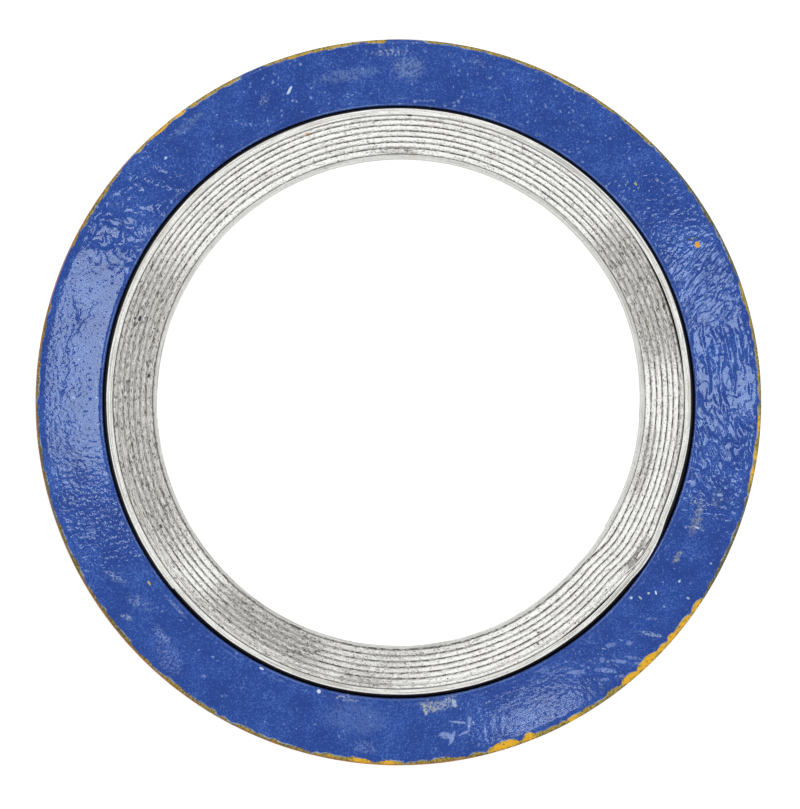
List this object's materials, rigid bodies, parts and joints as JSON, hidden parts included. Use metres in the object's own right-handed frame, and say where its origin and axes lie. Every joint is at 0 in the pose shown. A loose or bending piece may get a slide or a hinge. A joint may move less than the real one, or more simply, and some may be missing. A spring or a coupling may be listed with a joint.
{
  "type": "spiral wound gasket",
  "caption": "Spiral wound gasket: a V-section metal strip and soft filler wound together, held in a flat blue centring ring. It seals a pipe flange.",
  "frame": {"origin": "on the bore's axis, at mid-thickness", "axes": "+Z along the bore's axis, out of one sealing face; +X and +Y in the gasket's plane"},
  "size_m": [0.1494, 0.1494, 0.0048],
  "materials": {
    "blue_coating": "gloss",
    "strip_steel": "satin",
    "graphite": "satin"
  },
  "bodies": {
    "root": {"centring_ring": "blue_coating", "metal_strip": "strip_steel", "graphite_filler": "graphite"}
  },
  "joints": []
}
